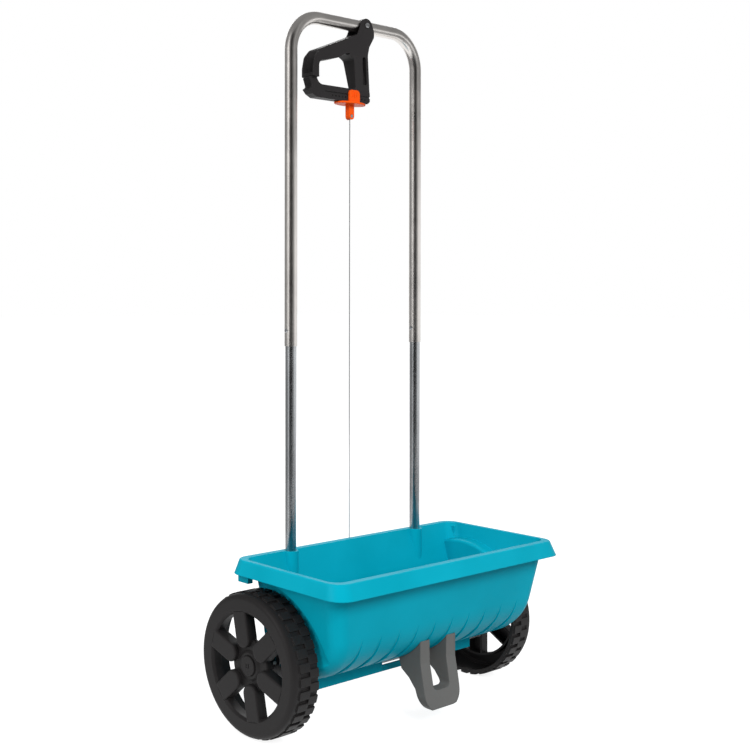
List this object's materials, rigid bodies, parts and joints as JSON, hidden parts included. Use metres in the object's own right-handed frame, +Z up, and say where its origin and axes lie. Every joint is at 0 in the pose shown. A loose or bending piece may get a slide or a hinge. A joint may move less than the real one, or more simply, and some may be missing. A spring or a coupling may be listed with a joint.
{
  "type": "lawn spreader",
  "caption": "Drop spreader with a trough hopper on two moulded wheels, an agitator, a hinged shutter, a front stand and a steel handle bow with a squeeze lever and a dose slider",
  "frame": {"origin": "on the ground at the middle of the footprint", "axes": "+X along the axle toward the right wheel, +Y to the rear where the user walks, +Z up"},
  "size_m": [0.5188, 0.273, 1.0559],
  "materials": {
    "tub_plastic": "moulded, satin",
    "black_plastic": "moulded, fine grain",
    "grey_plastic": "moulded, satin",
    "orange_plastic": "moulded, smooth",
    "satin_tube": "zinc plated, satin",
    "bright_tube": "plated, bright",
    "zinc_steel": "zinc plated"
  },
  "bodies": {
    "frame": {"hopper": "tub_plastic", "foot": "grey_plastic", "axle_bush_left": "black_plastic", "axle_bush_right": "black_plastic", "lower_tube_left": "bright_tube", "lower_tube_right": "bright_tube", "handle_bow": "satin_tube", "socket_screws": "zinc_steel", "pivot_screw": "zinc_steel", "pivot_nut": "zinc_steel", "return_spring": "zinc_steel"},
    "drive": {"axle": "zinc_steel", "drive_pin": "zinc_steel", "axle_locks": "zinc_steel", "axle_washers": "zinc_steel", "agitator": "orange_plastic", "wheel_left": "black_plastic", "hub_cap_left": "black_plastic"},
    "idler": {"wheel_right": "black_plastic", "hub_cap_right": "black_plastic"},
    "button_left": {"spring_button_left": "bright_tube"},
    "button_right": {"spring_button_right": "bright_tube"},
    "lever": {"squeeze_lever": "black_plastic"},
    "adjuster": {"dose_adjuster": "orange_plastic"},
    "wire": {"wire_nipple": "zinc_steel", "pull_wire": "zinc_steel"},
    "shutter": {"shutter": "zinc_steel"},
    "pocket": {"wire_pocket": "black_plastic"}
  },
  "joints": [
    {"name": "drive_spin", "type": "hinge", "parent": "frame", "child": "drive", "pos_m": [0, 0.034, 0.1025], "axis": [1, 0, 0], "continuous": true},
    {"name": "idler_spin", "type": "hinge", "parent": "frame", "child": "idler", "pos_m": [0.236, 0.034, 0.1025], "axis": [1, 0, 0], "continuous": true},
    {"name": "lever_squeeze", "type": "hinge", "parent": "frame", "child": "lever", "pos_m": [0.0105, 0.0738, 1.0452], "axis": [0, 1, 0], "range_deg": [0, 11], "stiffness_Nm_per_rad": 1.5, "springref_deg": -5.73},
    {"name": "dose_slide", "type": "slide", "parent": "lever", "child": "adjuster", "axis": [1, 0, 0], "range_m": [-0.022, 0.014]},
    {"name": "wire_swing", "type": "hinge", "parent": "adjuster", "child": "wire", "pos_m": [-0.0135, 0.0738, 0.903], "axis": [0, 1, 0], "range_deg": [-13.2, 0]},
    {"name": "shutter_turn", "type": "hinge", "parent": "frame", "child": "shutter", "pos_m": [0, 0.034, 0.1025], "axis": [1, 0, 0], "range_deg": [0, 10.2], "deforming": ["return_spring"]},
    {"name": "pocket_turn", "type": "hinge", "parent": "shutter", "child": "pocket", "pos_m": [0.0115, 0.10186, 0.08533], "axis": [1, 0, 0], "range_deg": [-10.2, 0]},
    {"name": "button_left_press", "type": "slide", "parent": "frame", "child": "button_left", "axis": [1, 0, 0], "range_m": [0, 0.0024], "stiffness_N_per_m": 900, "springref_m": -0.001},
    {"name": "button_right_press", "type": "slide", "parent": "frame", "child": "button_right", "axis": [1, 0, 0], "range_m": [0, 0.0024], "stiffness_N_per_m": 900, "springref_m": -0.001}
  ],
  "couplings": [
    {"joint": "wire_swing", "follows": "lever_squeeze", "ratio": -1.167},
    {"joint": "shutter_turn", "follows": "lever_squeeze", "ratio": 0.92},
    {"joint": "pocket_turn", "follows": "lever_squeeze", "ratio": -0.92}
  ]
}
